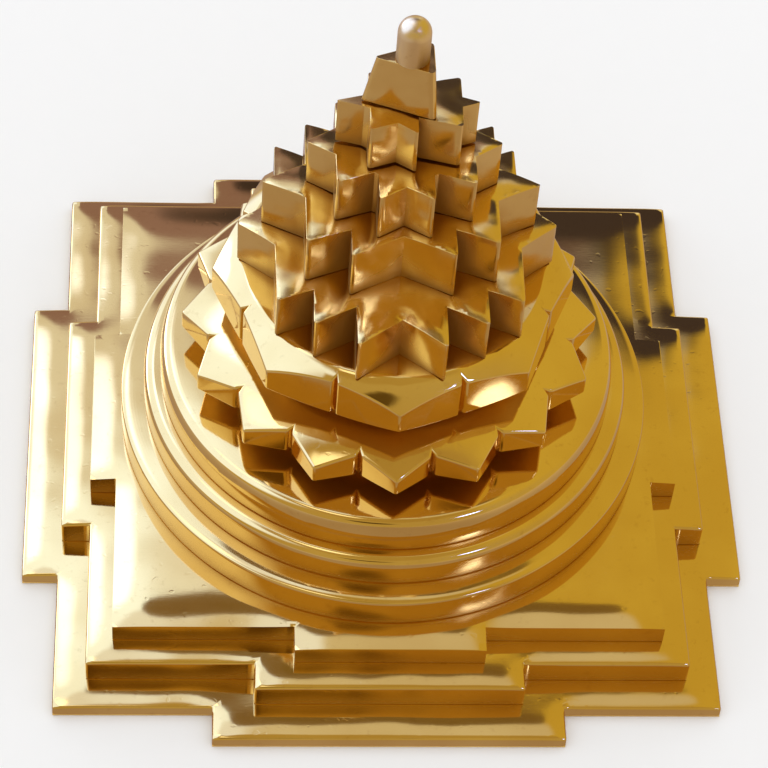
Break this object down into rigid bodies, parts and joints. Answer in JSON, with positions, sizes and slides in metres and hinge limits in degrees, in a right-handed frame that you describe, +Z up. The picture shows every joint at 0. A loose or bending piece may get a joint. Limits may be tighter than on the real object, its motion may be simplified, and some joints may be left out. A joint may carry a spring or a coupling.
{
  "type": "meru shri yantra",
  "caption": "Stepped meru shri yantra in polished brass: gated square base plates, turned rings, petal plates and interlaced triangle tiers rising to a domed bindu pin.",
  "frame": {"origin": "centre of the underside of the lower base plate, on the table", "axes": "+Z up along the tie rod, +X to the right in the picture, -Y towards the front edge of the base"},
  "size_m": [0.0842, 0.0842, 0.0733],
  "materials": {
    "polished_brass": "hand polished to a mirror, with faint buffing waves",
    "plain_brass": "as turned, dull",
    "plain_steel": "plain drawn bar"
  },
  "bodies": {
    "root": {"base_plate_lower": "polished_brass", "base_plate_middle": "polished_brass", "base_plate_upper": "polished_brass", "ring_lower": "polished_brass", "ring_middle": "polished_brass", "ring_upper": "polished_brass", "sixteen_petal_plate": "polished_brass", "eight_petal_plate": "polished_brass", "fourteen_corner_tier": "polished_brass", "outer_ten_corner_tier": "polished_brass", "inner_ten_corner_tier": "polished_brass", "eight_corner_tier": "polished_brass", "triangle_tier": "polished_brass", "bindu_finial": "polished_brass", "tie_rod": "plain_steel", "clamp_washer": "plain_brass", "clamp_nut": "plain_brass", "base_screws": "plain_steel", "body_pins": "plain_steel", "tower_pins": "plain_steel"}
  },
  "joints": []
}
